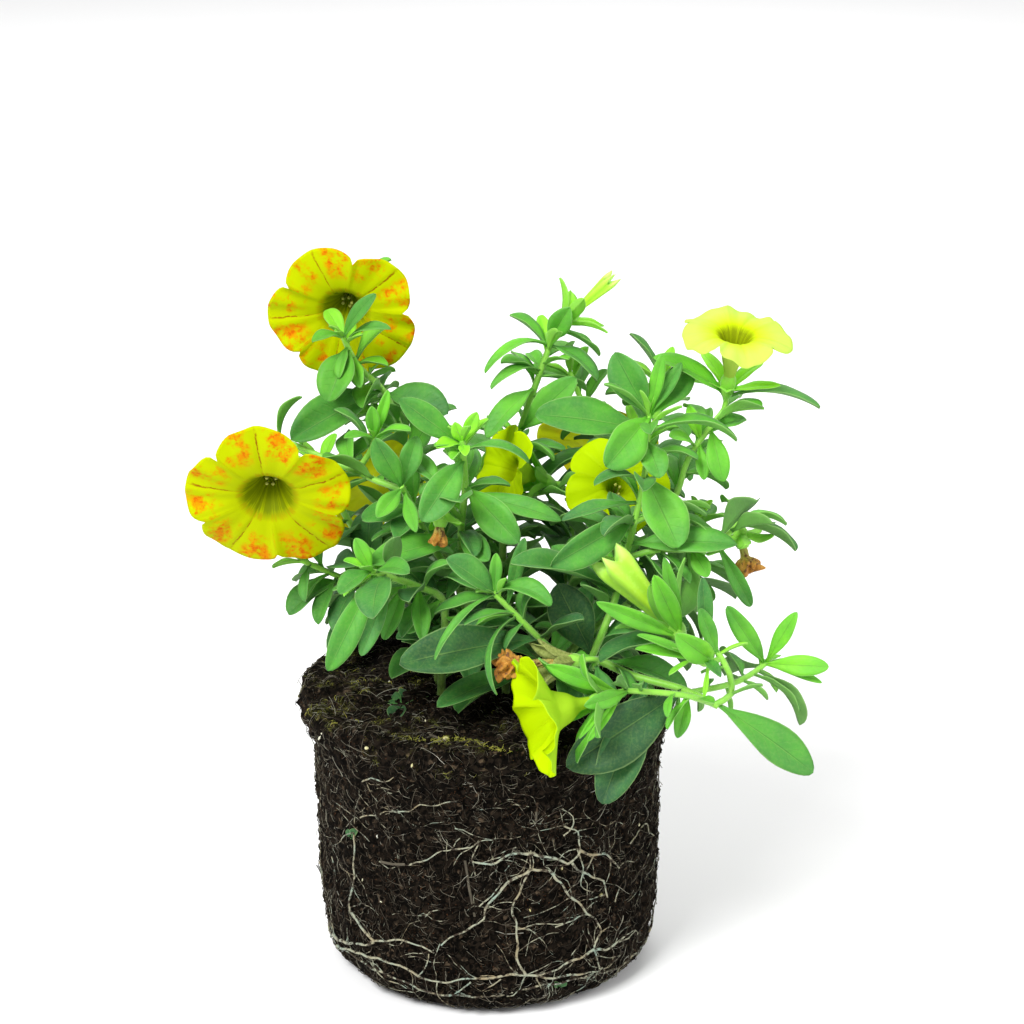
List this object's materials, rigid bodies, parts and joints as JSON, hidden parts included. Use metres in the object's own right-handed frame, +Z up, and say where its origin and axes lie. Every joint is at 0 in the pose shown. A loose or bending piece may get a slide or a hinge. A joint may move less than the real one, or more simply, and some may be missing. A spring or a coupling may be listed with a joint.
{
  "type": "calibrachoa plant with bare root ball",
  "caption": "Bushy trailing bedding plant with small oval leaves and yellow trumpet blooms, on the bare pot-shaped ball of peat and roots it grew in.",
  "frame": {"origin": "middle of the root ball's flat foot, on the surface that it stands on", "axes": "+Z up, -Y towards the picture's viewer, +X to the viewer's right"},
  "size_m": [0.1527, 0.1356, 0.1795],
  "materials": {
    "peat": "matte",
    "root": "matte",
    "leaf": "matte",
    "leaf_shaded": "matte",
    "petal": "matte",
    "bud": "matte",
    "withered": "matte"
  },
  "bodies": {
    "root": {"root_ball": "peat", "surface_roots": "root", "stem_front": "leaf", "stem_centre_left": "leaf", "stem_left_low": "leaf", "stem_left_flower": "leaf", "stem_back_centre": "leaf", "stem_back_left": "leaf_shaded", "stem_back_right": "leaf_shaded", "stem_right_low": "leaf_shaded", "stem_rear_left": "leaf_shaded", "stem_rear_right": "leaf_shaded", "stem_rear_centre": "leaf_shaded", "bloom_front": "petal", "bloom_right": "petal", "bloom_left": "petal", "bloom_back_left": "petal", "bloom_back_middle": "petal", "bloom_back_right": "petal", "bloom_rear_left": "petal", "bloom_rear_right": "petal", "bud_front": "bud", "bud_back": "bud", "spent_front": "withered", "spent_left": "withered", "spent_right": "withered"}
  },
  "joints": []
}
